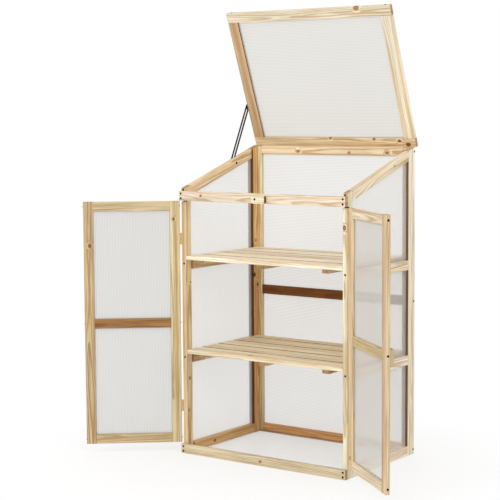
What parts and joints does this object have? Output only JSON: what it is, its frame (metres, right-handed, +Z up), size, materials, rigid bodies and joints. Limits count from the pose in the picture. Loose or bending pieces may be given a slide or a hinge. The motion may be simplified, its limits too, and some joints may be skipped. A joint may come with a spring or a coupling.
{
  "type": "wooden mini greenhouse",
  "caption": "Mini greenhouse in pine and twin-wall sheet with open double doors, slatted shelves and a hinged sloping lid held up by a slotted stay.",
  "frame": {"origin": "on the ground, in the middle of the front bottom rail's underside", "axes": "+X to the right of someone who faces the doors, +Y to the back, +Z up"},
  "size_m": [1.3786, 0.757, 1.7318],
  "materials": {
    "pine": "bare sawn and planed pine",
    "twin_wall_sheet": "translucent milky twin-wall polycarbonate",
    "black_steel": "satin black",
    "brassed_steel": "brass-plated steel, dull"
  },
  "bodies": {
    "frame": {"left_front_post": "pine", "left_back_post": "pine", "left_bottom_rail": "pine", "left_lower_shelf_rail": "pine", "left_upper_shelf_rail": "pine", "left_sloping_rail": "pine", "right_front_post": "pine", "right_back_post": "pine", "right_bottom_rail": "pine", "right_lower_shelf_rail": "pine", "right_upper_shelf_rail": "pine", "right_sloping_rail": "pine", "front_top_rail": "pine", "front_bottom_rail": "pine", "back_left_stile": "pine", "back_right_stile": "pine", "back_top_rail": "pine", "back_middle_rail": "pine", "back_bottom_rail": "pine", "left_side_panels": "twin_wall_sheet", "right_side_panels": "twin_wall_sheet", "back_panels": "twin_wall_sheet", "floor_panel": "twin_wall_sheet", "frame_screws": "black_steel", "frame_hinge_leaves": "brassed_steel", "hinge_pins": "brassed_steel", "stay_bolt": "black_steel", "stay_wing_nut": "black_steel"},
    "lower_shelf": {"lower_shelf_slats": "pine", "lower_shelf_battens": "pine", "lower_shelf_screws": "black_steel"},
    "upper_shelf": {"upper_shelf_slats": "pine", "upper_shelf_battens": "pine", "upper_shelf_screws": "black_steel"},
    "left_door": {"left_door_hinge_stile": "pine", "left_door_free_stile": "pine", "left_door_top_rail": "pine", "left_door_middle_rail": "pine", "left_door_bottom_rail": "pine", "left_door_panels": "twin_wall_sheet", "left_door_screws": "black_steel", "left_door_hinge_leaves": "brassed_steel"},
    "right_door": {"right_door_hinge_stile": "pine", "right_door_free_stile": "pine", "right_door_top_rail": "pine", "right_door_middle_rail": "pine", "right_door_bottom_rail": "pine", "right_door_panels": "twin_wall_sheet", "right_door_screws": "black_steel", "right_door_hinge_leaves": "brassed_steel"},
    "lid": {"lid_left_stile": "pine", "lid_right_stile": "pine", "lid_hinge_rail": "pine", "lid_front_rail": "pine", "lid_panel": "twin_wall_sheet", "lid_screws": "black_steel", "lid_hinge_leaves": "brassed_steel"},
    "stay": {"stay_arm": "black_steel"},
    "rail_button": {"rail_turn_button": "pine"},
    "door_button": {"door_turn_button": "pine"}
  },
  "joints": [
    {"name": "left_door_hinge", "type": "hinge", "parent": "frame", "child": "left_door", "pos_m": [-0.3834, 0.008, 0.515], "axis": [0, 0, 1], "range_deg": [-40, 140]},
    {"name": "right_door_hinge", "type": "hinge", "parent": "frame", "child": "right_door", "pos_m": [0.3834, 0.008, 0.515], "axis": [0, 0, 1], "range_deg": [-141.5, 38.5]},
    {"name": "lid_hinge", "type": "hinge", "parent": "frame", "child": "lid", "pos_m": [0, 0.5014, 1.19288], "axis": [1, 0, 0], "range_deg": [0, 86.6]},
    {"name": "stay_swing", "type": "hinge", "parent": "lid", "child": "stay", "pos_m": [-0.3835, 0.45467, 1.35706], "axis": [1, 0, 0], "range_deg": [-43.3, 0]},
    {"name": "rail_button_turn", "type": "hinge", "parent": "frame", "child": "rail_button", "pos_m": [-0.008, -0.0154, 1.0125], "axis": [0, 1, 0], "range_deg": [0, 90]},
    {"name": "door_button_turn", "type": "hinge", "parent": "right_door", "child": "door_button", "pos_m": [0.67507, -0.20266, 0.5225], "axis": [-0.6225, -0.7826, 0], "range_deg": [0, 90]},
    {"name": "lower_shelf_lift", "type": "slide", "parent": "frame", "child": "lower_shelf", "axis": [0, 0, 1], "range_m": [0, 0.2]},
    {"name": "upper_shelf_lift", "type": "slide", "parent": "frame", "child": "upper_shelf", "axis": [0, 0, 1], "range_m": [0, 0.2]}
  ],
  "couplings": [
    {"joint": "stay_swing", "follows": "lid_hinge", "ratio": -0.5}
  ]
}
